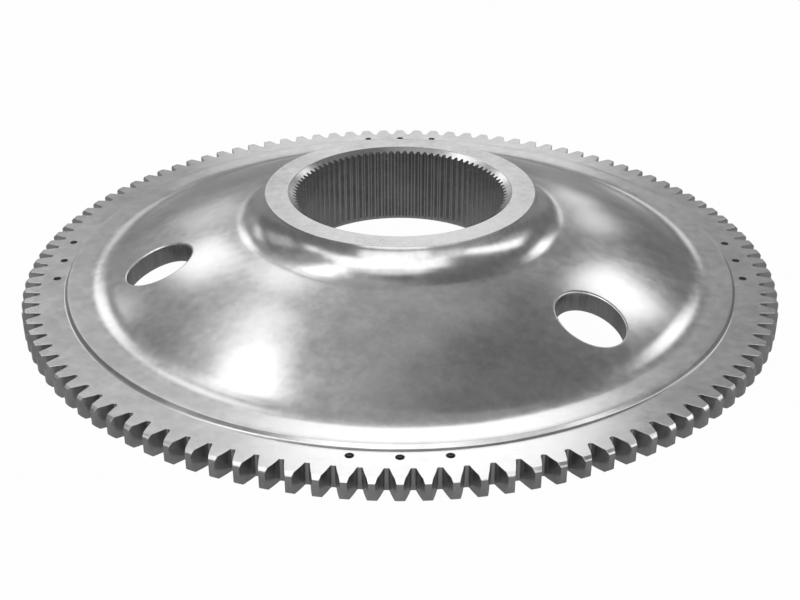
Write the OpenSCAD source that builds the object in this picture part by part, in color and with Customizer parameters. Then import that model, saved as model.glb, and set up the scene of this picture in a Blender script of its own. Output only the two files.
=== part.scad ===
// Reaction hub of a planetary final drive: one forged and machined steel piece.
// A dished web joins a splined sleeve to a toothed rim. Millimetres, +Z up,
// origin on the hub's axis in the plane that the rim rests on.

/* [Rim teeth] */
// Number of teeth round the rim
tooth_count = 108; // [96:2:130]
// Module of the rim teeth
tooth_module = 8; // [7:0.5:9.5]
// Pressure angle of the rim teeth
tooth_angle = 20; // [14.5:0.5:20]
// Depth of a tooth gap below the pitch circle, in modules
tooth_dedendum = 1.5; // [1.2:0.05:1.5]
// Radius in the corners of a tooth gap, in modules
tooth_fillet = 0.22; // [0.1:0.01:0.24]
// Width of the bevel on the tooth ends, measured along the radius
tooth_bevel_w = 3.8; // [1:0.1:7]
// Height of the bevel on the tooth ends, measured along the axis
tooth_bevel_h = 3.8; // [1:0.1:6]

/* [Rim] */
// Thickness of the rim
rim_t = 25; // [15:1:50]
// Distance from the tooth gaps in to the circle of tapped holes
hole_inset = 17; // [10:0.1:40]
// Diameter of the tapped holes before threading
hole_d = 8.5; // [5:0.1:14]
// Depth of the countersink at both ends of a tapped hole
hole_sink = 0.3; // [0.2:0.1:1.5]
// Number of groups of tapped holes
hole_groups = 4; // [2:1:8]
// Spacing of the holes in a group, in tooth pitches
hole_pitches = 2; // [1:1:4]
// How far the locating hole lies outside the circle of the others
clock_out = 3.2; // [0:0.1:6]
// How far the locating hole is turned back from its even place
clock_turn = 0.43; // [0:0.01:1]

/* [Raised land] */
// Distance from the circle of tapped holes in to the foot of the step
step_inset = 10.3; // [7:0.1:20]
// Height of the land above the rim's top face
step_h = 4.5; // [2:0.1:8]
// Slope of the step's riser
step_slope = 58; // [45:1:88]
// Radius at the foot of the step
step_foot_r = 1; // [0.2:0.1:1.5]
// Radius at the top edge of the step
step_edge_r = 0.5; // [0.2:0.1:1]
// Distance from the foot of the step in to where the land starts to rise into the web
land_w = 27.6; // [15:0.1:50]

/* [Web] */
// Slope of the web at its foot, where it is steepest
web_slope = 26.2; // [20:0.1:32]
// Radius of the web's dome in section
web_dome_r = 610; // [450:5:1200]
// Thickness of the web, measured square to it
web_t = 23; // [12:0.5:30]
// Radius between the land and the web
web_foot_r = 64; // [20:1:90]
// Radius under the rim, where its flat bottom turns into the web
web_heel_r = 30; // [5:1:60]
// Number of round holes through the web
window_count = 3; // [2:1:6]
// Diameter of the round holes through the web
window_d = 75; // [40:1:100]
// Distance from the inner edge of the land in to the circle of round holes
window_inset = 81.6; // [70:0.1:115]
// Direction of the first round hole
window_turn = -45; // [-180:1:180]

/* [Neck and sleeve] */
// Number of teeth in the splined sleeve
spline_count = 91; // [60:1:120]
// Module of the spline
spline_module = 2.7; // [1.5:0.05:4]
// Pressure angle of the spline
spline_angle = 30; // [20:2.5:30]
// Height of the spline teeth inside the pitch circle, in modules
spline_addendum = 0.7; // [0.4:0.05:0.7]
// Depth of the spline gaps outside the pitch circle, in modules
spline_dedendum = 0.6; // [0.5:0.05:0.9]
// Direction of the middle of one spline gap
spline_turn = 91.15; // [0:0.05:360]
// Wall from the spline gaps out to the edge of the neck
neck_wall = 32.5; // [20:0.1:45]
// How far the neck's edge stands above the web's dome, measured along the axis
neck_rise = 27.4; // [12:0.1:45]
// Radius of the flare from the web up to the neck
neck_flare_r = 48; // [25:1:80]
// Width of the mouth's bevel beyond the spline gaps
mouth_w = 6; // [1:0.1:10]
// Slope of the mouth's bevel
mouth_slope = 30; // [20:1:60]
// Wall of the sleeve under the web, from the spline gaps out
sleeve_wall = 28.5; // [18:0.5:40]
// Height of the sleeve's lower end above the rest plane
sleeve_base = 22.5; // [5:0.5:40]
// Radius between the sleeve and the underside of the web
sleeve_fillet_r = 20; // [8:1:30]
// Bevel on the sleeve's lower edges
sleeve_bevel = 3; // [1:0.5:6]

/* [Hidden] */
steel = [0.62, 0.62, 0.63];
round_fn = 216;
arc_step_a = 6;
edge_steps = 3;
corner_steps = 2;
bend_steps = 6;
flank_steps = 2;
spline_steps = 1;
over = 1;

// Rim tooth radii
pitch_r = tooth_count * tooth_module / 2;
tip_r = pitch_r + tooth_module;
root_r = pitch_r - tooth_dedendum * tooth_module;
base_r = pitch_r * cos(tooth_angle);
fillet_r = tooth_fillet * tooth_module;
tooth_pitch_a = 360 / tooth_count;

// Circles on the rim, worked inwards from the tooth gaps
hole_circle_r = root_r - hole_inset;
step_r = hole_circle_r - step_inset;
land_end_r = step_r - land_w;
land_z = rim_t + step_h;

// Spline and neck radii
spline_pitch_r = spline_count * spline_module / 2;
spline_tip_r = spline_pitch_r - spline_addendum * spline_module;
spline_root_r = spline_pitch_r + spline_dedendum * spline_module;
spline_base_r = spline_pitch_r * cos(spline_angle);
mouth_r = spline_root_r + mouth_w;
neck_r = spline_root_r + neck_wall;
sleeve_r = spline_root_r + sleeve_wall;

// The web in section: the end of its foot fillet, and the centre shared by both faces of the dome
under_dome_r = web_dome_r - web_t;
foot_end = [land_end_r - web_foot_r * sin(web_slope), land_z + web_foot_r * (1 - cos(web_slope))];
dome_c = foot_end - web_dome_r * [sin(web_slope), cos(web_slope)];
neck_z = dome_c.y + sqrt(web_dome_r ^ 2 - (neck_r - dome_c.x) ^ 2) + neck_rise;
window_r = land_end_r - window_inset;

// Points of an arc in the plane of radius and height
function arc(c, r, from, to, steps = 0) =
    let (n = steps > 0 ? steps : ceil(abs(to - from) / arc_step_a))
    [for (i = [0:n]) let (a = from + (to - from) * i / n) c + r * [cos(a), sin(a)]];

// Involute of an angle, in degrees
function involute(a) = tan(a) * 180 / PI - a;

// Half the angle that a tooth of these sizes spans at a radius
function half_span(r, count, base, angle) =
    90 / count + involute(angle) - involute(acos(base / r));

// A point at a radius and direction
function polar(r, a) = r * [cos(a), sin(a)];

// Step between the rim's top face and the land: a foot fillet, a straight riser, a rounded edge
function step_outline() =
    let (
        foot_c = [step_r, rim_t + step_foot_r],
        bend = [cos(step_slope), sin(step_slope)],
        foot_drop = step_foot_r * (1 - bend.x),
        edge_drop = step_edge_r * (1 - bend.x),
        riser_h = max(0, step_h - foot_drop - edge_drop),
        run = (step_foot_r + step_edge_r) * bend.y + riser_h / tan(step_slope),
        edge_c = [step_r - run, land_z - step_edge_r]
    )
    concat(
        arc(foot_c, step_foot_r, 270, 270 - step_slope, edge_steps),
        arc(edge_c, step_edge_r, 90 - step_slope, 90, edge_steps)
    );

// Direction from the dome's centre to a point, measured from the axis
function dome_slope(p) = atan2(p.x - dome_c.x, p.y - dome_c.y);

// Points along one face of the dome between two slopes, without its ends
function dome_outline(r, from, to) =
    [for (i = [1:bend_steps - 1])
        let (a = from + (to - from) * i / bend_steps)
        dome_c + r * [sin(a), cos(a)]];

// Fillet between the land and the web
function foot_outline() =
    arc([land_end_r, land_z + web_foot_r], web_foot_r, 270, 270 - web_slope);

// Centre of the flare: it touches the dome, and meets the neck upright or ends at the neck's edge
function flare_centre() =
    let (
        reach = web_dome_r + neck_flare_r,
        upright_r = neck_r + neck_flare_r,
        upright_z = dome_c.y + sqrt(reach ^ 2 - (upright_r - dome_c.x) ^ 2),
        to_edge = [neck_r, neck_z] - dome_c,
        far = norm(to_edge),
        along = (reach ^ 2 - neck_flare_r ^ 2 + far ^ 2) / (2 * far),
        across = sqrt(max(0, reach ^ 2 - along ^ 2)),
        u = to_edge / far
    )
    neck_z >= upright_z ? [upright_r, upright_z] : dome_c + along * u + across * [u.y, -u.x];

// Flare between the web's dome and the edge of the neck
function flare_outline(c) =
    let (upright = neck_z > c.y)
    concat(
        arc(c, neck_flare_r, 270 - dome_slope(c), upright ? 180 : 360 + atan2(neck_z - c.y, neck_r - c.x)),
        upright ? [[neck_r, neck_z]] : []
    );

// Centre of the fillet between the sleeve and the underside of the web
function sleeve_centre() =
    let (r = sleeve_r + sleeve_fillet_r)
    [r, dome_c.y + sqrt((under_dome_r - sleeve_fillet_r) ^ 2 - (r - dome_c.x) ^ 2)];

// Lower end of the sleeve and the fillet up to the underside of the web
function sleeve_outline(c) =
    concat(
        [
            [spline_root_r + sleeve_bevel, sleeve_base],
            [sleeve_r - sleeve_bevel, sleeve_base],
            [sleeve_r, sleeve_base + sleeve_bevel]
        ],
        arc(c, sleeve_fillet_r, 180, 90 - dome_slope(c), bend_steps)
    );

// Centre of the rounded corner where the underside of the web reaches the rim's flat bottom
function heel_centre() =
    [dome_c.x + sqrt((under_dome_r + web_heel_r) ^ 2 - (web_heel_r - dome_c.y) ^ 2), web_heel_r];

// Rounded corner under the rim
function heel_outline(c) = arc(c, web_heel_r, 270 - dome_slope(c), 270);

// Whole section of the hub, from the rim's outer edge over the top, down the bore and back
function hub_outline() =
    let (flare_c = flare_centre(), sleeve_c = sleeve_centre(), heel_c = heel_centre())
    concat(
        [
            [tip_r - tooth_bevel_w, 0],
            [tip_r, tooth_bevel_h],
            [tip_r, rim_t - tooth_bevel_h],
            [tip_r - tooth_bevel_w, rim_t]
        ],
        step_outline(),
        foot_outline(),
        dome_outline(web_dome_r, web_slope, dome_slope(flare_c)),
        flare_outline(flare_c),
        [
            [mouth_r, neck_z],
            [spline_tip_r, neck_z - (mouth_r - spline_tip_r) * tan(mouth_slope)],
            [spline_tip_r, sleeve_base + sleeve_bevel + spline_root_r - spline_tip_r]
        ],
        sleeve_outline(sleeve_c),
        dome_outline(under_dome_r, dome_slope(sleeve_c), dome_slope(heel_c)),
        heel_outline(heel_c)
    );

// Corner fillet of a tooth gap, from the root circle to the flank, on one side of the tooth
function root_corner(side) =
    let (
        r = root_r + fillet_r,
        slack = asin(fillet_r / r),
        a = half_span(r, tooth_count, base_r, tooth_angle) + slack,
        c = polar(r, side * a)
    )
    [for (i = [0:corner_steps])
        let (b = 180 + side * (a + 90 * i / corner_steps))
        c + polar(fillet_r, b)];

// One tooth, centred on +X: corner, flank, flank, corner
function tooth_outline() =
    let (
        low = root_r + fillet_r,
        high = tip_r + over,
        radii = [for (i = [1:flank_steps]) low + (high - low) * i / flank_steps],
        right = [for (r = radii) polar(r, -half_span(r, tooth_count, base_r, tooth_angle))],
        left = [for (i = [flank_steps - 1:-1:0])
            polar(radii[i], half_span(radii[i], tooth_count, base_r, tooth_angle))],
        left_corner = root_corner(1)
    )
    concat(root_corner(-1), right, left, [for (i = [corner_steps:-1:0]) left_corner[i]]);

// A point turned about the axis
function turned(p, a) = [p.x * cos(a) - p.y * sin(a), p.x * sin(a) + p.y * cos(a)];

// One gap of the spline, centred on +X, from inside the bore to its root and back
function spline_gap_outline() =
    let (
        low = spline_tip_r - over,
        radii = [for (i = [0:spline_steps]) low + (spline_root_r - low) * i / spline_steps],
        spans = [for (r = radii) half_span(r, spline_count, spline_base_r, spline_angle)]
    )
    concat(
        [for (i = [0:spline_steps]) polar(radii[i], -spans[i])],
        [for (i = [spline_steps:-1:0]) polar(radii[i], spans[i])]
    );

// A closed outline made of one shape repeated round the axis
module ring_of(shape, count, turn) {
    polygon([for (i = [0:count - 1]) for (p = shape) turned(p, turn + i * 360 / count)]);
}

// A tapped hole through the rim, countersunk at both ends
module tapped_hole() {
    mouth = hole_d / 2 + hole_sink;
    translate([0, 0, -over]) cylinder(d = hole_d, h = rim_t + 2 * over, $fn = 48);
    translate([0, 0, -over]) cylinder(r1 = mouth + over, r2 = hole_d / 2, h = hole_sink + over, $fn = 48);
    translate([0, 0, rim_t - hole_sink])
        cylinder(r1 = hole_d / 2, r2 = mouth + over, h = hole_sink + over, $fn = 48);
}

// Groups of three tapped holes, with the locating hole moved out of the even pattern
module tapped_holes() {
    clock_group = floor(hole_groups / 2);
    for (g = [0:hole_groups - 1], k = [-1:1]) {
        locating = g == clock_group && k == -1;
        a = g * 360 / hole_groups + k * hole_pitches * tooth_pitch_a - (locating ? clock_turn : 0);
        rotate(a) translate([hole_circle_r + (locating ? clock_out : 0), 0, 0]) tapped_hole();
    }
}

// Round holes through the web, drilled along the axis
module windows() {
    for (i = [0:window_count - 1])
        rotate(window_turn + i * 360 / window_count)
            translate([window_r, 0, -over]) cylinder(d = window_d, h = neck_z + 2 * over, $fn = 96);
}

module reaction_hub() {
    color(steel)
        difference() {
            intersection() {
                rotate_extrude($fn = round_fn) polygon(hub_outline());
                translate([0, 0, -over])
                    linear_extrude(neck_z + 2 * over) ring_of(tooth_outline(), tooth_count, 0);
            }
            translate([0, 0, sleeve_base - over])
                linear_extrude(neck_z - sleeve_base + 2 * over)
                    ring_of(spline_gap_outline(), spline_count, spline_turn);
            windows();
            tapped_holes();
        }
}

reaction_hub();
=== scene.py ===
import math
import bmesh
import bpy
import numpy as np
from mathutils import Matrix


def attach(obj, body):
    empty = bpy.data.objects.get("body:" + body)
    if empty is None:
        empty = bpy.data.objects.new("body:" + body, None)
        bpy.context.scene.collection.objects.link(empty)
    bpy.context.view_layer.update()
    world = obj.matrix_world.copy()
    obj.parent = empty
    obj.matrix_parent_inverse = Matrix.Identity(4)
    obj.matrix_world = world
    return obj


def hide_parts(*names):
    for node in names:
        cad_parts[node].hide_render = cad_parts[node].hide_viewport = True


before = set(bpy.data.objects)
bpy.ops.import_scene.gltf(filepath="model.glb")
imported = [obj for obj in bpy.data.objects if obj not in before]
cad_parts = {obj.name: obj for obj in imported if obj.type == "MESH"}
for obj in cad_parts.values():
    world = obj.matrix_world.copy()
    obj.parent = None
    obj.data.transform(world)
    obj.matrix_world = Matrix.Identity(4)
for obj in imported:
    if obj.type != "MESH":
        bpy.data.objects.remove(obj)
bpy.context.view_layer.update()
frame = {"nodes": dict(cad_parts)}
print("frame loaded:", ", ".join(frame["nodes"]))

mm = 0.001  # sizes below are in millimetres, the meshes in metres

# the hub, one steel piece
hub = {
    "toothCount": 108,
    "toothModule": 8.0,
    "toothAngle": 20.0,
    "toothDedendum": 1.5,  # in modules
    "toothFillet": 1.76,
    "flankRows": [0.34, 0.67, 1.0],  # rows of a flank, from the fillet to the bevel
    "tipBreak": 0.6,  # share of the edge break at the tips
    "bevelWidth": 3.8,
    "bevelHeight": 3.8,
    "rimThickness": 25.0,
    "holeInset": 17.0,
    "holeRadius": 4.25,
    "holeSink": 0.3,
    "holeRows": 5,  # rows of the flange that hold the tapped holes
    "holeRings": [0, 0.15, 0.45, 1.0],
    "flangeStart": 1.4,  # from the step out to the first row
    "flangeEnd": 9.8,  # from the holes' circle out to the last of those rows
    "shelfInset": 1.5,  # from the tooth roots in to the shelf
    "holePitches": 2,  # teeth between the holes of a group
    "threadPitch": 1.5,
    "threadDepth": 0.7,
    "threadReach": 5.0,  # thread drawn this far in from each face
    "threadRows": 3,  # rows to a pitch
    "clockOut": 3.2,  # the locating hole, out of the even pattern
    "clockTurn": 0.43,
    "clockTooth": 52,
    "stepInset": 10.3,
    "stepHeight": 4.5,
    "stepSlope": 58.0,
    "stepFoot": 2.5,
    "stepEdge": 0.3,
    "landWidth": 27.6,
    "webSlope": 26.2,  # at the web's foot
    "webDome": 610.0,
    "webThickness": 23.0,
    "webFoot": 64.0,
    "webHeel": 30.0,
    "windowCount": 3,
    "windowRadius": 37.5,
    "windowInset": 81.6,
    "windowTurn": -45.0,
    "windowRound": 2.2,  # rounding from the web into a window's wall
    "windowMargin": 50.0,  # half depth of the band that holds the windows
    "windowCols": 9,  # half width of a window's block, in columns of the band
    "windowRings": [0, 0.06, 0.15, 0.28, 0.46, 0.7, 1.0],
    "wallRows": [0, 0.33, 0.67, 1],
    "splineCount": 91,
    "splineModule": 2.7,
    "splineAngle": 30.0,
    "splineAddendum": 0.7,
    "splineDedendum": 0.6,
    "splineTurn": 91.15,
    "cornerDepth": 0.8,  # the cut corners of a spline gap, as shares of its depth and width
    "cornerWidth": 0.65,
    "neckWall": 32.5,
    "neckRise": 27.4,
    "neckFlare": 48.0,
    "mouthWidth": 6.0,
    "mouthSlope": 30.0,
    "mouthBreak": 0.2,
    "bevelRows": [0, 0.08, 0.92, 1.0],  # rows close to the edges keep the bevel's shading even
    "sleeveWall": 28.5,
    "sleeveBase": 22.5,
    "sleeveFillet": 20.0,
    "sleeveBevel": 3.0,
    "edgeBreak": 0.5,
    "edgeCorner": 0.1,  # the neck's edge break bulges to this far from the sharp corner
    "toothEdge": 0.25,
    "turnSteps": 288,
    "sharpTurn": 28.0,  # edges that turn more than this stay crisp
    "weld": 2e-6,  # points closer than this are one, in metres
}

# rows of the section's arcs and slopes
rowCount = {
    "stepFoot": 5,
    "stepEdge": 6,
    "land": 4,
    "webFoot": 12,
    "webOuter": 1,
    "webInner": 8,
    "windowBand": 16,
    "windowRound": 8,
    "flare": 20,
    "sleeveFillet": 16,
    "underInner": 6,
    "underOuter": 5,
    "heel": 8,
}

pitchR = hub["toothCount"] * hub["toothModule"] / 2
tipR = pitchR + hub["toothModule"]
rootR = pitchR - hub["toothDedendum"] * hub["toothModule"]
toothPitch = 2 * math.pi / hub["toothCount"]
holeR = rootR - hub["holeInset"]
stepR = holeR - hub["stepInset"]
landEndR = stepR - hub["landWidth"]
rimZ = hub["rimThickness"]
landZ = rimZ + hub["stepHeight"]
slope = math.radians(hub["webSlope"])
windowR = landEndR - hub["windowInset"]
splinePitchR = hub["splineCount"] * hub["splineModule"] / 2
splineTipR = splinePitchR - hub["splineAddendum"] * hub["splineModule"]
splineRootR = splinePitchR + hub["splineDedendum"] * hub["splineModule"]
mouthR = splineRootR + hub["mouthWidth"]
neckR = splineRootR + hub["neckWall"]
sleeveR = splineRootR + hub["sleeveWall"]

# centre of the web's dome in section, on the line through the foot fillet's centre
domeR = landEndR - (hub["webFoot"] + hub["webDome"]) * math.sin(slope)
domeZ = landZ + hub["webFoot"] - (hub["webFoot"] + hub["webDome"]) * math.cos(slope)


def onDome(r, radius):  # height of a circle about the dome's centre
    return domeZ + np.sqrt(radius ** 2 - (r - domeR) ** 2)


def webTopZ(r):
    return onDome(r, hub["webDome"])


def webUnderZ(r):
    return onDome(r, hub["webDome"] - hub["webThickness"])


def domeSlope(r, z):  # direction from the dome's centre, in degrees from the axis
    return math.degrees(math.atan2(r - domeR, z - domeZ))


neckZ = webTopZ(neckR) + hub["neckRise"]

# shell of the hub, gathered patch by patch
webZone, faceZone, neckZone, cutZone, wallZone, holeShadeZone = range(6)
shell = {"points": [], "faces": [], "zones": [], "smooth": [], "count": 0}


def addFaces(points, faces, zone, smooth=True):
    points = np.asarray(points).reshape(-1, 3)
    shell["points"].append(points)
    shell["faces"].append(faces + shell["count"])
    shell["zones"].append(np.full(len(faces), zone))
    shell["smooth"].append(np.full(len(faces), smooth))
    shell["count"] += len(points)


def addGrid(points, zone, wrap=True, keep=None, smooth=True):
    # quads between neighbouring rows and columns, the last column joined to the first if it wraps
    rows, cols = points.shape[:2]
    index = np.arange(rows * cols).reshape(rows, cols)
    if wrap:
        index = np.concatenate([index, index[:, :1]], axis=1)
    quads = np.stack([index[:-1, :-1], index[:-1, 1:], index[1:, 1:], index[1:, :-1]], axis=-1)
    quads = quads.reshape(-1, 4) if keep is None else quads[keep]
    addFaces(points, quads, zone, smooth)


def addZip(loopA, loopB, zone):
    # flat ring between two loops of unlike counts: each edge meets the last point passed on the other loop
    angles = [np.arctan2(p[:, 1], p[:, 0]) % (2 * math.pi) for p in (loopA, loopB)]
    order = [np.argsort(t) for t in angles]
    a, b = angles[0][order[0]], angles[1][order[1]]
    nextA, nextB = np.roll(np.arange(len(a)), -1), np.roll(np.arange(len(b)), -1)
    meetB = (np.searchsorted(b, a[nextA], side="right") - 1) % len(b)
    meetA = (np.searchsorted(a, b[nextB], side="left") - 1) % len(a)
    trisA = np.stack([np.arange(len(a)), nextA, meetB + len(a)], axis=1)
    trisB = np.stack([np.arange(len(b)) + len(a), nextB + len(a), meetA], axis=1)
    addFaces(np.concatenate([loopA[order[0]], loopB[order[1]]]), np.concatenate([trisA, trisB]), zone, False)


def polar(r, turn, z):
    r, turn, z = np.broadcast_arrays(r, turn, z)
    return np.stack([r * np.cos(turn), r * np.sin(turn), z], axis=-1)


def arcRows(centreR, centreZ, radius, start, end, steps):
    # section points on an arc, angles in degrees
    a = np.radians(np.linspace(start, end, steps + 1))
    return np.stack([centreR + radius * np.cos(a), centreZ + radius * np.sin(a)], axis=1)


def coneRows(startR, endR, steps, heightAt):
    r = np.linspace(startR, endR, steps + 1)
    return np.stack([r, heightAt(r) + 0 * r], axis=1)


turns = np.arange(hub["turnSteps"]) * 2 * math.pi / hub["turnSteps"]


def revolve(rows):  # a section carried round the axis
    return polar(rows[:, :1], turns[None, :], rows[:, 1:])


def halfSpan(r, count, baseR, angle):
    # half the angle of an involute tooth at radius r: half pitch plus inv(angle) less inv(arccos(base / r))
    own = np.arccos(baseR / r)
    return math.pi / (2 * count) + math.tan(angle) - angle - (np.tan(own) - own)


def toothSpan(r):
    angle = math.radians(hub["toothAngle"])
    return halfSpan(r, hub["toothCount"], pitchR * math.cos(angle), angle)


def splineSpan(r):
    angle = math.radians(hub["splineAngle"])
    return halfSpan(r, hub["splineCount"], splinePitchR * math.cos(angle), angle)


# rim teeth: per tooth a gap with two fillets, a flat top in rows and columns, bevelled ends
filletSteps = 4
acrossTooth = np.linspace(-1, 1, 5)
bevelR = tipR - hub["bevelWidth"]
flankR = np.array(hub["flankRows"]) * (bevelR - rootR - hub["toothFillet"]) + rootR + hub["toothFillet"]
flankR = np.concatenate([flankR, [(bevelR + tipR) / 2, tipR]])


def topOfTooth(r):  # flat to the bevel, then straight down the bevel
    return rimZ - np.maximum(0, r - bevelR) * hub["bevelHeight"] / hub["bevelWidth"]


def toothPlan(inset):
    # plan of one tooth as complex numbers, drawn in by the inset: gap side, then rows of the tooth
    low = rootR + hub["toothFillet"]
    turn = toothSpan(low) + math.asin(hub["toothFillet"] / low)
    sweep = math.pi - turn - np.linspace(0, math.pi / 2, filletSteps + 1)
    corner = low * np.exp(-1j * turn) + (hub["toothFillet"] + inset) * np.exp(1j * sweep)
    base = np.abs(corner[-1]) * np.exp(1j * acrossTooth * -np.angle(corner[-1]))
    radii = np.minimum(flankR, tipR - hub["tipBreak"] * inset)
    half = toothSpan(radii) - inset / radii
    rows = radii[:, None] * np.exp(1j * acrossTooth[None, :] * half[:, None])
    middle = (rootR - inset) * np.exp(-0.5j * toothPitch)
    return np.concatenate([[middle], corner[:-1]]), np.concatenate([base[None, :], rows])


def aroundTeeth(plan):  # a tooth's plan repeated round the rim, one tooth after another
    turn = np.exp(1j * toothPitch * np.arange(hub["toothCount"]))
    return (turn[:, None] * plan[None, :]).reshape(-1)


def lift(plan, z):
    return np.stack([plan.real, plan.imag, z + 0 * plan.real], axis=-1)


def rimBorder(gap, rows):  # outline of one tooth and its gap, from gap middle to gap middle
    return np.concatenate([gap, rows[:, 0], rows[-1, 1:-1], rows[::-1, -1], np.conj(gap[:0:-1])])


def rimSide(flip):
    # top of the rim, or its mirror at the bottom: flange, holes' surrounds, shelf, tooth tops, edge strip
    gap, rows = toothPlan(hub["toothEdge"])
    shelf = aroundTeeth(np.concatenate([gap, rows[0], np.conj(gap[:0:-1])]))
    shelfZ = rimZ if flip > 0 else 0.0
    perTooth = len(shelf) // hub["toothCount"]
    holeRows = hub["holeRows"]
    flangeR = np.linspace(stepR + hub["flangeStart"], holeR + hub["flangeEnd"], holeRows + 1)
    flangeR = np.append(flangeR, rootR - hub["shelfInset"])
    flange = polar(flangeR[:, None], np.angle(shelf)[None, :], shelfZ)
    keep = np.ones((len(flangeR) - 1, len(shelf)), bool)
    for tooth, _, _ in tappedHoles():
        keep[:holeRows, tooth * perTooth:(tooth + 1) * perTooth] = False
        addHoleSurround(flange, tooth, perTooth, holeRows, shelfZ)
    addGrid(flange, faceZone, keep=keep, smooth=False)
    addGrid(np.stack([flange[-1], lift(shelf, shelfZ)]), faceZone, smooth=False)

    def height(plan):
        top = topOfTooth(np.abs(plan))
        return top if flip > 0 else rimZ - top

    tops = np.stack([aroundTeeth(row) for row in rows])
    between = np.ones((len(rows) - 1, tops.shape[1] - 1), bool)
    between[:, len(acrossTooth) - 1::len(acrossTooth)] = False
    addGrid(lift(tops, height(tops)), faceZone, wrap=False, keep=between)
    capLoop = aroundTeeth(rimBorder(gap, rows))
    wallLoop = aroundTeeth(rimBorder(*toothPlan(0)))
    wall = lift(wallLoop, height(wallLoop) - flip * hub["toothEdge"])
    addGrid(np.stack([lift(capLoop, height(capLoop)), wall]), cutZone)
    return flange[0], wall


def tappedHoles():
    # tooth number, circle radius and direction of each hole: groups of three on every quarter
    quarter = hub["toothCount"] // 4
    holes = []
    for group in range(4):
        for k in (-1, 0, 1):
            tooth = (group * quarter + k * hub["holePitches"]) % hub["toothCount"]
            odd = tooth == hub["clockTooth"]
            r = holeR + (hub["clockOut"] if odd else 0)
            turn = tooth * toothPitch - (math.radians(hub["clockTurn"]) if odd else 0)
            holes.append((tooth, r, turn))
    return holes


def loopOf(grid, rows, cols):  # border of a block of a grid, in order
    a = [(rows[0], c) for c in cols]
    b = [(r, cols[-1]) for r in rows[1:]]
    c = [(rows[-1], k) for k in cols[-2::-1]]
    d = [(r, cols[0]) for r in rows[-2:0:-1]]
    pick = np.array(a + b + c + d)
    return grid[pick[:, 0], pick[:, 1] % grid.shape[1]]


holeTurns = {}


def addHoleSurround(flange, tooth, perTooth, holeRows, z):
    # rings from the hole's countersunk mouth out to the block cut from the flange
    # the block is centred on a tooth, so the columns start half a pitch before it
    _, r, turn = next(h for h in tappedHoles() if h[0] == tooth)
    cols = list(range(tooth * perTooth, (tooth + 1) * perTooth + 1))
    loop = loopOf(flange, list(range(holeRows + 1)), cols)
    centre = polar(r, turn, z)
    way = np.arctan2(loop[:, 1] - centre[1], loop[:, 0] - centre[0])
    holeTurns[tooth] = way
    mouth = centre + polar(hub["holeRadius"] + hub["holeSink"], way, 0)
    share = np.array(hub["holeRings"])[:, None, None]
    addGrid(mouth * (1 - share) + loop * share, faceZone, smooth=False)


def addTappedHole(tooth, r, turn):
    # wall of a tapped hole: countersink, thread as a helix r(turn, z), countersink
    way = holeTurns[tooth]
    sink, reach, lead = hub["holeSink"], hub["threadReach"], hub["threadPitch"]
    steps = int(reach / lead * hub["threadRows"])
    lower = np.linspace(sink, reach, steps)
    z = np.concatenate([lower, rimZ - lower[::-1]])[:, None]
    phase = (z / lead - way[None, :] / (2 * math.pi)) % 1.0
    fade = np.clip(np.minimum(z - sink, rimZ - sink - z) / lead, 0, 1)
    fade = fade * np.clip((reach - np.minimum(z, rimZ - z)) / lead, 0, 1)
    wall = hub["holeRadius"] + hub["threadDepth"] * fade * (1 - np.abs(2 * phase - 1))
    rows = np.concatenate([0 * wall[:1] + hub["holeRadius"] + sink, wall,
                           0 * wall[:1] + hub["holeRadius"] + sink])
    heights = np.concatenate([[[0.0]], z, [[rimZ]]])
    # the hole's wall takes the near-black steel: painted shade inside the hole
    addGrid(polar(r, turn, 0) + polar(rows, way[None, :], heights), holeShadeZone)


topInner, topWall = rimSide(1)
lowInner, lowWall = rimSide(-1)
addGrid(np.stack([topWall, lowWall]), cutZone)
for tooth, r, turn in tappedHoles():
    addTappedHole(tooth, r, turn)
print("rim teeth and tapped holes done")

# upper side from the rim to the neck
stepTurn = math.radians(hub["stepSlope"])
riser = hub["stepHeight"] - (hub["stepFoot"] + hub["stepEdge"]) * (1 - math.cos(stepTurn))
stepRun = (hub["stepFoot"] + hub["stepEdge"]) * math.sin(stepTurn) + max(0, riser) / math.tan(stepTurn)
stepRows = np.concatenate([
    arcRows(stepR, rimZ + hub["stepFoot"], hub["stepFoot"], 270, 270 - hub["stepSlope"],
            rowCount["stepFoot"]),
    arcRows(stepR - stepRun, landZ - hub["stepEdge"], hub["stepEdge"], 90 - hub["stepSlope"], 90,
            rowCount["stepEdge"]),
])
footArc = arcRows(landEndR, landZ + hub["webFoot"], hub["webFoot"], 270, 270 - hub["webSlope"],
                  rowCount["webFoot"])
# the flare touches the dome and ends at the neck's edge: its centre is where two circles cross
flare, reach = hub["neckFlare"], hub["webDome"] + hub["neckFlare"]
edgeFar = math.hypot(neckR - domeR, neckZ - domeZ)
along = (reach ** 2 - flare ** 2 + edgeFar ** 2) / (2 * edgeFar)
across = math.sqrt(reach ** 2 - along ** 2)
edgeR, edgeZ = (neckR - domeR) / edgeFar, (neckZ - domeZ) / edgeFar
flareR = domeR + along * edgeR + across * edgeZ
flareZ = domeZ + along * edgeZ - across * edgeR
flareStart = 270 - domeSlope(flareR, flareZ)
flareEnd = 360 + math.degrees(math.atan2(neckZ - flareZ, neckR - flareR))
edgeSwing = math.degrees(hub["edgeBreak"] / flare)
flareArc = arcRows(flareR, flareZ, flare, flareStart, flareEnd + edgeSwing, rowCount["flare"])
neckEdge = np.array([flareArc[-1], [neckR - hub["edgeCorner"], neckZ - hub["edgeCorner"]],
                     [neckR - hub["edgeBreak"], neckZ]])
outerWindow, innerWindow = windowR + hub["windowMargin"], windowR - hub["windowMargin"]
landRows = coneRows(stepRows[-1, 0], footArc[0, 0], rowCount["land"], lambda r: landZ)
topBand = revolve(coneRows(outerWindow, innerWindow, rowCount["windowBand"], webTopZ))
addGrid(revolve(stepRows), faceZone)
addGrid(revolve(landRows), faceZone)
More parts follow.
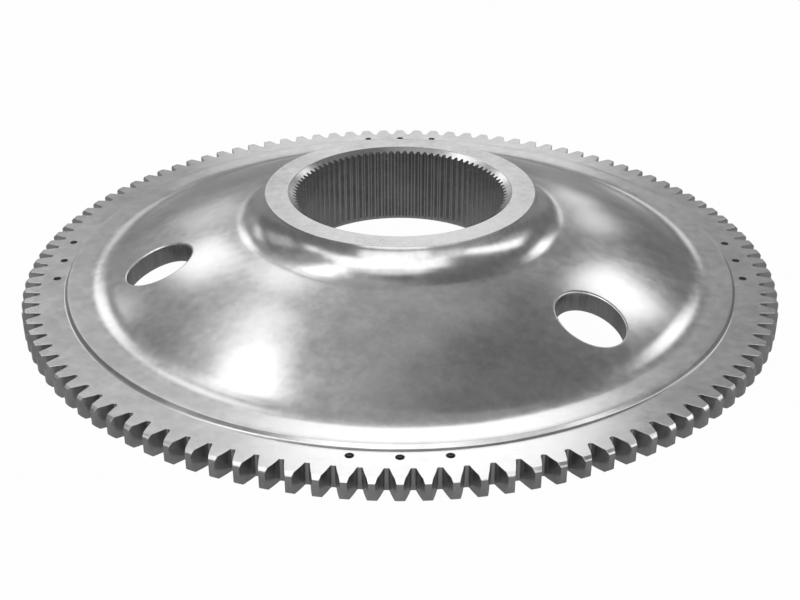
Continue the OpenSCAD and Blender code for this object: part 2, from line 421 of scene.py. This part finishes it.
addGrid(revolve(footArc), webZone)
addGrid(revolve(coneRows(footArc[-1, 0], outerWindow, rowCount["webOuter"], webTopZ)), webZone)
addGrid(revolve(coneRows(innerWindow, flareArc[0, 0], rowCount["webInner"], webTopZ)), webZone)
addGrid(revolve(flareArc), webZone)
addGrid(revolve(neckEdge), faceZone)

# underside from the sleeve to the rim
underDome = hub["webDome"] - hub["webThickness"]
filletR = sleeveR + hub["sleeveFillet"]
filletZ = onDome(filletR, underDome - hub["sleeveFillet"])
heelR = domeR + math.sqrt((underDome + hub["webHeel"]) ** 2 - (hub["webHeel"] - domeZ) ** 2)
sleeveFoot = np.array([[sleeveR - hub["sleeveBevel"], hub["sleeveBase"]],
                       [sleeveR, hub["sleeveBase"] + hub["sleeveBevel"]]])
sleeveArc = arcRows(filletR, filletZ, hub["sleeveFillet"], 180, 90 - domeSlope(filletR, filletZ),
                    rowCount["sleeveFillet"])
heelArc = arcRows(heelR, hub["webHeel"], hub["webHeel"], 270 - domeSlope(heelR, hub["webHeel"]), 270,
                  rowCount["heel"])
lowBand = revolve(coneRows(outerWindow, innerWindow, rowCount["windowBand"], webUnderZ))
addGrid(revolve(sleeveFoot), faceZone)
addGrid(revolve(np.concatenate([sleeveFoot[1:], sleeveArc[:1]])), webZone)
addGrid(revolve(sleeveArc), webZone)
addGrid(revolve(coneRows(sleeveArc[-1, 0], innerWindow, rowCount["underInner"], webUnderZ)), webZone)
addGrid(revolve(coneRows(outerWindow, heelArc[0, 0], rowCount["underOuter"], webUnderZ)), webZone)
addGrid(revolve(heelArc), webZone)

# section of a window's edge as widths and depths: a quarter round from the web's face into the wall
edgeBend = np.linspace(0, math.pi / 2, rowCount["windowRound"] + 1)
edgeWidth = hub["windowRound"] * (1 - np.sin(edgeBend))
edgeDepth = hub["windowRound"] * (1 - np.cos(edgeBend))


def addWindow(column, halfCols):
    # a round window: rings from its rounded edge out to the block cut from the band, on both sides
    rows = list(range(topBand.shape[0]))
    cols = list(range(column - halfCols, column + halfCols + 1))
    centre = polar(windowR, turns[column % len(turns)], 0)[:2]
    top, low = loopOf(topBand, rows, cols), loopOf(lowBand, rows, cols)
    way = np.arctan2(top[:, 1] - centre[1], top[:, 0] - centre[0])
    rings = hub["windowRadius"] + edgeWidth[:, None]
    rings = centre + np.stack([rings * np.cos(way), rings * np.sin(way)], axis=-1)

    def onFace(plan, heightAt, drop=0.0):
        z = heightAt(np.hypot(plan[..., 0], plan[..., 1])) + drop
        return np.concatenate([plan, z[..., None]], axis=-1)

    share = np.array(hub["windowRings"])[:, None, None]
    wall = []
    for loop, heightAt, side in ((top, webTopZ, -1), (low, webUnderZ, 1)):
        addGrid(onFace(rings[0] * (1 - share) + loop[None, :, :2] * share, heightAt), webZone)
        edge = onFace(rings, heightAt, side * edgeDepth[:, None])
        addGrid(edge, faceZone)
        wall.append(edge[-1])
    addGrid(np.stack([wall[0] * (1 - t) + wall[1] * t for t in hub["wallRows"]]), wallZone)


halfCols = hub["windowCols"]
bandKeep = np.ones((topBand.shape[0] - 1, len(turns)), bool)
for i in range(hub["windowCount"]):
    column = round((hub["windowTurn"] / 360 + i / hub["windowCount"]) * len(turns)) % len(turns)
    bandKeep[:, np.arange(column - halfCols, column + halfCols) % len(turns)] = False
    addWindow(column, halfCols)
addGrid(topBand, webZone, keep=bandKeep)
addGrid(lowBand, webZone, keep=bandKeep)
print("web and windows done")

# spline: one gap as radii and turns, its root corners cut, repeated round the bore
gapDepth = splineRootR - splineTipR
gapR = splineTipR + gapDepth * np.array([0, 0, hub["cornerDepth"], 1, 1, hub["cornerDepth"], 0])
gapTurn = splineSpan(gapR) * np.array([0, -1, -1, -hub["cornerWidth"], hub["cornerWidth"], 1, 1])
gapTurn[0] = -math.pi / hub["splineCount"]
gapStart = math.radians(hub["splineTurn"]) + 2 * math.pi * np.arange(hub["splineCount"]) / hub["splineCount"]
splineTurns = (gapStart[:, None] + gapTurn[None, :]).reshape(-1)
splineR = np.tile(gapR, hub["splineCount"])
share = np.array(hub["bevelRows"])[:, None]
mouthFall = math.tan(math.radians(hub["mouthSlope"]))
mouthLow = mouthR - hub["mouthBreak"]
bevelRows = splineR * (1 - share) + mouthLow * share
mouthLoop = polar(mouthR + hub["mouthBreak"], splineTurns, neckZ)
addGrid(polar(bevelRows, splineTurns, neckZ - (mouthR - bevelRows) * mouthFall), faceZone)
lowLoop = polar(mouthLow, splineTurns, neckZ - (mouthR - mouthLow) * mouthFall)
addGrid(np.stack([lowLoop, mouthLoop]), faceZone)
lowEdgeR = splineRootR + hub["sleeveBevel"]
lowRows = splineR * (1 - share) + lowEdgeR * share
lowBevel = polar(lowRows, splineTurns, hub["sleeveBase"] + lowEdgeR - lowRows)
addGrid(lowBevel, faceZone)
topEdge = polar(splineR, splineTurns, neckZ - (mouthR - splineR) * mouthFall)
addGrid(np.stack([topEdge * (1 - t) + lowBevel[0] * t for t in hub["wallRows"]]), cutZone)
addZip(mouthLoop, revolve(neckEdge)[-1], neckZone)
addZip(lowBevel[-1], revolve(sleeveFoot)[0], faceZone)
addZip(topInner, revolve(stepRows)[0], faceZone)
addZip(lowInner, revolve(heelArc)[-1], faceZone)
print("spline done")


def buildShell(name):
    mesh = bpy.data.meshes.new(name)
    points = np.concatenate(shell["points"]) * mm
    faces = [f for part in shell["faces"] for f in part.tolist()]
    mesh.from_pydata(points, [], faces)
    mesh.polygons.foreach_set("material_index", np.concatenate(shell["zones"]).astype(np.int32))
    mesh.polygons.foreach_set("use_smooth", np.concatenate(shell["smooth"]))
    work = bmesh.new()
    work.from_mesh(mesh)
    bmesh.ops.remove_doubles(work, verts=work.verts, dist=hub["weld"])
    bmesh.ops.recalc_face_normals(work, faces=work.faces)
    for edge in work.edges:
        edge.smooth = edge.calc_face_angle(math.pi) < math.radians(hub["sharpTurn"])
    work.to_mesh(mesh)
    openEdges = sum(1 for e in work.edges if len(e.link_faces) != 2)
    print("hub shell:", len(work.verts), "points,", sum(len(f.verts) - 2 for f in work.faces), "triangles,",
          openEdges, "open edges")
    work.free()
    piece = bpy.data.objects.new(name, mesh)
    bpy.context.scene.collection.objects.link(piece)
    return piece


hubPiece = buildShell("hub_body")


# materials
def newGroup(name, inputs, outputs):
    group = bpy.data.node_groups.new(name, "ShaderNodeTree")
    for label, kind, value in inputs:
        socket = group.interface.new_socket(label, in_out="INPUT", socket_type=kind)
        if value is not None:
            socket.default_value = value
    for label, kind in outputs:
        group.interface.new_socket(label, in_out="OUTPUT", socket_type=kind)
    return group, group.nodes.new("NodeGroupInput"), group.nodes.new("NodeGroupOutput")


def mathNode(tree, kind, *values):
    node = tree.nodes.new("ShaderNodeMath")
    node.operation = kind
    for i, v in enumerate(values):
        if isinstance(v, (int, float)):
            node.inputs[i].default_value = v
        else:
            tree.links.new(v, node.inputs[i])
    return node.outputs[0]


def noiseNode(tree, vector, scale, detail=3.0, roughness=0.5):
    node = tree.nodes.new("ShaderNodeTexNoise")
    node.inputs["Detail"].default_value = detail
    node.inputs["Roughness"].default_value = roughness
    tree.links.new(vector, node.inputs["Vector"])
    if isinstance(scale, (int, float)):
        node.inputs["Scale"].default_value = scale
    else:
        tree.links.new(scale, node.inputs["Scale"])
    return node.outputs["Fac"]


# patterns of the steel: sizes of the finer noises are in units of the broad one's
cloudLook = {"broadDetail": 2.0, "broadRough": 0.7, "fineScale": 5.0, "fineDetail": 4.0, "fineRough": 0.8,
             "fineShare": 0.5, "grainScale": 40.0, "grainDetail": 2.0, "grainShare": 0.1}
markLook = {"pitch": 0.0012, "bandScale": 220.0, "bandDetail": 3.0, "bandRough": 0.6}


def mixValues(tree, a, b, share):  # share of b in the sum of both
    partA = mathNode(tree, "MULTIPLY", a, 1 - share)
    partB = mathNode(tree, "MULTIPLY", b, share)
    return mathNode(tree, "ADD", partA, partB)


def makeCloudGroup():
    # clouds in the steel, about one: broad patches and finer blotches, and a little grain in the relief
    group, given, made = newGroup(
        "steelClouds",
        [("Vector", "NodeSocketVector", None), ("Scale", "NodeSocketFloat", 18.0),
         ("Depth", "NodeSocketFloat", 1.0)],
        [("Shade", "NodeSocketFloat"), ("Height", "NodeSocketFloat")])
    place, scale = given.outputs["Vector"], given.outputs["Scale"]
    fineScale = mathNode(group, "MULTIPLY", scale, cloudLook["fineScale"])
    grainScale = mathNode(group, "MULTIPLY", scale, cloudLook["grainScale"])
    broad = noiseNode(group, place, scale, cloudLook["broadDetail"], cloudLook["broadRough"])
    fine = noiseNode(group, place, fineScale, cloudLook["fineDetail"], cloudLook["fineRough"])
    grain = noiseNode(group, place, grainScale, cloudLook["grainDetail"])
    mixed = mixValues(group, broad, fine, cloudLook["fineShare"])
    centred = mathNode(group, "MULTIPLY", mathNode(group, "SUBTRACT", mixed, 0.5), given.outputs["Depth"])
    relief = mixValues(group, fine, grain, cloudLook["grainShare"])
    group.links.new(mathNode(group, "ADD", centred, 1.0), made.inputs["Shade"])
    group.links.new(relief, made.inputs["Height"])
    return group


def makeTurnedGroup():
    # turning marks: a wave of the distance from the axis, its depth shaken by noise along the radius
    group, given, made = newGroup(
        "turningMarks",
        [("Vector", "NodeSocketVector", None), ("Pitch", "NodeSocketFloat", markLook["pitch"])],
        [("Height", "NodeSocketFloat"), ("Band", "NodeSocketFloat")])
    split = group.nodes.new("ShaderNodeSeparateXYZ")
    group.links.new(given.outputs["Vector"], split.inputs[0])
    squared = mathNode(group, "ADD", mathNode(group, "MULTIPLY", split.outputs[0], split.outputs[0]),
                       mathNode(group, "MULTIPLY", split.outputs[1], split.outputs[1]))
    radius = mathNode(group, "SQRT", squared)
    ratio = mathNode(group, "DIVIDE", radius, given.outputs["Pitch"])
    phase = mathNode(group, "MULTIPLY", ratio, 2 * math.pi)
    wave = mathNode(group, "SINE", phase)
    line = group.nodes.new("ShaderNodeCombineXYZ")
    group.links.new(radius, line.inputs[0])
    band = noiseNode(group, line.outputs[0], markLook["bandScale"], markLook["bandDetail"],
                     markLook["bandRough"])
    group.links.new(mathNode(group, "MULTIPLY", wave, band), made.inputs["Height"])
    group.links.new(band, made.inputs["Band"])
    return group


cloudGroup = makeCloudGroup()
turnedGroup = makeTurnedGroup()

finishes = {
    "forgedSteel": {"colour": (0.55, 0.55, 0.55), "rough": 0.22, "cloud": 18.0, "depth": 0.9, "marks": 0.0,
                    "relief": 0.00001, "upright": 1.0},
    "turnedSteel": {"colour": (0.55, 0.55, 0.55), "rough": 0.22, "cloud": 18.0, "depth": 0.7, "marks": 0.02,
                    "relief": 0.00001, "upright": 1.0},
    "neckSteel": {"colour": (0.5, 0.5, 0.5), "rough": 0.34, "cloud": 18.0, "depth": 2.0, "marks": 0.02,
                  "relief": 0.00001, "upright": 1.0},
    "cutSteel": {"colour": (0.46, 0.46, 0.46), "rough": 0.24, "cloud": 24.0, "depth": 1.0, "marks": 0.0,
                 "relief": 0.00002, "upright": 1.0},
    "wallSteel": {"colour": (0.5, 0.5, 0.5), "rough": 0.26, "cloud": 20.0, "depth": 1.8, "marks": 0.0,
                  "relief": 0.00002, "upright": 0.05},
    # walls of the tapped holes: near-black steel, painted shade inside the holes
    "holeShadeSteel": {"colour": (0.12, 0.12, 0.12), "rough": 0.5, "cloud": 24.0, "depth": 0.5, "marks": 0.0,
                   "relief": 0.00002, "upright": 1.0},
}


def makeSteel(name, look):
    material = bpy.data.materials.new(name)
    material.use_nodes = True
    tree = material.node_tree
    shader = tree.nodes["Principled BSDF"]
    shader.inputs["Metallic"].default_value = 1.0
    coords = tree.nodes.new("ShaderNodeTexCoord").outputs["Object"]
    # a small upright share draws the clouds out along the axis
    drawn = tree.nodes.new("ShaderNodeVectorMath")
    drawn.operation = "MULTIPLY"
    drawn.inputs[1].default_value = (1, 1, look["upright"])
    tree.links.new(coords, drawn.inputs[0])
    clouds = tree.nodes.new("ShaderNodeGroup")
    clouds.node_tree = cloudGroup
    clouds.inputs["Scale"].default_value = look["cloud"]
    clouds.inputs["Depth"].default_value = look["depth"]
    tree.links.new(drawn.outputs[0], clouds.inputs["Vector"])
    tint = tree.nodes.new("ShaderNodeVectorMath")
    tint.operation = "SCALE"
    tint.inputs[0].default_value = look["colour"]
    tree.links.new(clouds.outputs["Shade"], tint.inputs["Scale"])
    tree.links.new(tint.outputs[0], shader.inputs["Base Color"])
    rough = mathNode(tree, "MULTIPLY", clouds.outputs["Shade"], look["rough"])
    height = clouds.outputs["Height"]
    if look["marks"]:
        marks = tree.nodes.new("ShaderNodeGroup")
        marks.node_tree = turnedGroup
        tree.links.new(coords, marks.inputs["Vector"])
        markHeight = mathNode(tree, "MULTIPLY", marks.outputs["Height"], look["marks"])
        markRough = mathNode(tree, "MULTIPLY", marks.outputs["Band"], look["marks"])
        height = mathNode(tree, "ADD", height, markHeight)
        rough = mathNode(tree, "ADD", rough, markRough)
    tree.links.new(rough, shader.inputs["Roughness"])
    bump = tree.nodes.new("ShaderNodeBump")
    bump.inputs["Distance"].default_value = look["relief"]
    tree.links.new(height, bump.inputs["Height"])
    tree.links.new(bump.outputs[0], shader.inputs["Normal"])
    return material


for name, look in finishes.items():
    hubPiece.data.materials.append(makeSteel(name, look))
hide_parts("reaction_hub")
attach(hubPiece, "root")
print("materials done")

# camera at the photograph's place, solved from the ring of tapped holes
view = {"lens": 56.96, "away": 1.3585, "above": 0.7079, "pitch": 61.527}
camera = bpy.data.objects.new("camera", bpy.data.cameras.new("camera"))
camera.data.lens = view["lens"]
camera.data.sensor_width = 36.0
camera.data.sensor_fit = "HORIZONTAL"
camera.location = (0, -view["away"], view["above"])
camera.rotation_euler = (math.radians(view["pitch"]), 0, 0)
bpy.context.scene.collection.objects.link(camera)
bpy.context.scene.camera = camera

# pale floor that the camera sees as white, with the hub's shadow kept
floorLook = {"size": 120.0, "colour": (0.22, 0.22, 0.22, 1), "cameraShare": 0.985, "mirrorShare": 0.18}


def makeFloor():
    half = floorLook["size"] / 2
    mesh = bpy.data.meshes.new("floor")
    corners = [(-half, -half, 0), (half, -half, 0), (half, half, 0), (-half, half, 0)]
    mesh.from_pydata(corners, [], [(0, 1, 2, 3)])
    floor = bpy.data.objects.new("floor", mesh)
    bpy.context.scene.collection.objects.link(floor)
    material = bpy.data.materials.new("paleFloor")
    material.use_nodes = True
    tree = material.node_tree
    tree.nodes.clear()
    plain = tree.nodes.new("ShaderNodeBsdfDiffuse")
    plain.inputs["Color"].default_value = floorLook["colour"]
    glow = tree.nodes.new("ShaderNodeEmission")
    path = tree.nodes.new("ShaderNodeLightPath")
    mirrored = mathNode(tree, "MAXIMUM", path.outputs["Is Glossy Ray"], path.outputs["Is Transmission Ray"])
    share = mathNode(tree, "MAXIMUM",
                     mathNode(tree, "MULTIPLY", path.outputs["Is Camera Ray"], floorLook["cameraShare"]),
                     mathNode(tree, "MULTIPLY", mirrored, floorLook["mirrorShare"]))
    mix = tree.nodes.new("ShaderNodeMixShader")
    tree.links.new(share, mix.inputs[0])
    tree.links.new(plain.outputs[0], mix.inputs[1])
    tree.links.new(glow.outputs[0], mix.inputs[2])
    out = tree.nodes.new("ShaderNodeOutputMaterial")
    tree.links.new(mix.outputs[0], out.inputs[0])
    mesh.materials.append(material)


makeFloor()

# soft studio light: panels at a direction and spread in degrees, all facing the hub, and a grey room
lamps = {
    "frontLeftPanel": {"turn": -124, "rise": 47, "wide": 38, "tall": 24, "level": 1.85},
    "frontRightPanel": {"turn": -74, "rise": 48, "wide": 37, "tall": 24, "level": 1.65},
    "frontHighPanel": {"turn": -98, "rise": 67, "wide": 34, "tall": 14, "level": 1.05},
    "frontLowPanel": {"turn": -94, "rise": 27, "wide": 52, "tall": 20, "level": 1.6},
    "frontLeftLowPanel": {"turn": -153, "rise": 36, "wide": 9, "tall": 14, "level": 1.25},
    "frontRightLowPanel": {"turn": -50, "rise": 28, "wide": 20, "tall": 18, "level": 0.9},
    "lowFill": {"turn": -60, "rise": 14, "wide": 110, "tall": 12, "level": 0.2},
    "leftHighPanel": {"turn": 170, "rise": 62, "wide": 35, "tall": 11, "level": 2.5},
    "rightPanel": {"turn": -7, "rise": 29, "wide": 52, "tall": 12, "level": 2.0},
    "rightSkirt": {"turn": 14, "rise": 18, "wide": 26, "tall": 10, "level": 0.35},
    "rightBackPanel": {"turn": 51.5, "rise": 34.5, "wide": 14, "tall": 12, "level": 2.4},
    "rightLowPanel": {"turn": 67.5, "rise": 17, "wide": 5, "tall": 9, "level": 1.25},
    "rightFootPanel": {"turn": 72.5, "rise": 10, "wide": 4.5, "tall": 8, "level": 1.15},
    "backPanel": {"turn": 88, "rise": 34, "wide": 17, "tall": 14, "level": 2.1},
    "backLowPanel": {"turn": 90, "rise": 20, "wide": 20, "tall": 14, "level": 0.55},
    "leftBackPanel": {"turn": 119, "rise": 29.5, "wide": 10, "tall": 12, "level": 1.95},
    "leftBackHighPanel": {"turn": 110, "rise": 43, "wide": 9, "tall": 9, "level": 1.6},
    "leftBackTopPanel": {"turn": 127, "rise": 54, "wide": 10, "tall": 8, "level": 1.7},
    "leftLowPanel": {"turn": 111, "rise": 15, "wide": 8, "tall": 11, "level": 0.65},
    "leftSpot": {"turn": 136, "rise": 21, "wide": 7, "tall": 13, "level": 1.15},
    "leftFill": {"turn": 162, "rise": 24, "wide": 26, "tall": 14, "level": 0.5},
    "leftPanel": {"turn": 195, "rise": 28, "wide": 11, "tall": 10, "level": 1.65},
    "backWash": {"turn": 104, "rise": 28, "wide": 62, "tall": 50, "level": 0.16},
    "leftWash": {"turn": 145, "rise": 64, "wide": 74, "tall": 40, "level": 0.26},
    "leftBackWash": {"turn": 104, "rise": 32, "wide": 9, "tall": 12, "level": 0.26},
    "topWash": {"turn": 100, "rise": 84, "wide": 13, "tall": 13, "level": 0.14},
}
studio = {"away": 10.0, "horizon": 0.22, "middle": 0.23, "zenith": 0.205, "middleRise": 0.5}


def addPanel(name, look):
    # level is the panel's brightness as seen in a mirror, so its power grows with its area
    turn, rise = math.radians(look["turn"]), math.radians(look["rise"])
    data = bpy.data.lights.new(name, "AREA")
    data.shape = "RECTANGLE"
    data.size = 2 * studio["away"] * math.tan(math.radians(look["wide"] / 2))
    data.size_y = 2 * studio["away"] * math.tan(math.radians(look["tall"] / 2))
    data.energy = look["level"] * math.pi * data.size * data.size_y
    lamp = bpy.data.objects.new(name, data)
    flat = studio["away"] * math.cos(rise)
    lamp.location = (flat * math.cos(turn), flat * math.sin(turn), studio["away"] * math.sin(rise))
    lamp.rotation_euler = (math.pi / 2 - rise, 0, turn + math.pi / 2)
    lamp.visible_camera = False
    bpy.context.scene.collection.objects.link(lamp)


def makeRoom():
    # grey room, its brightness graded by how far up a ray looks
    world = bpy.data.worlds.new("greyRoom")
    world.use_nodes = True
    tree = world.node_tree
    up = tree.nodes.new("ShaderNodeSeparateXYZ")
    tree.links.new(tree.nodes.new("ShaderNodeTexCoord").outputs["Generated"], up.inputs[0])
    grade = tree.nodes.new("ShaderNodeValToRGB")
    stops = grade.color_ramp.elements
    stops[0].position, stops[0].color = 0.0, (studio["horizon"],) * 3 + (1,)
    stops[1].position, stops[1].color = 1.0, (studio["zenith"],) * 3 + (1,)
    middle = stops.new(studio["middleRise"])
    middle.color = (studio["middle"],) * 3 + (1,)
    tree.links.new(up.outputs[2], grade.inputs[0])
    tree.links.new(grade.outputs[0], tree.nodes["Background"].inputs["Color"])
    bpy.context.scene.world = world


for name, look in lamps.items():
    addPanel(name, look)
makeRoom()
bpy.context.scene.view_settings.view_transform = "Standard"
print("stage and light done")
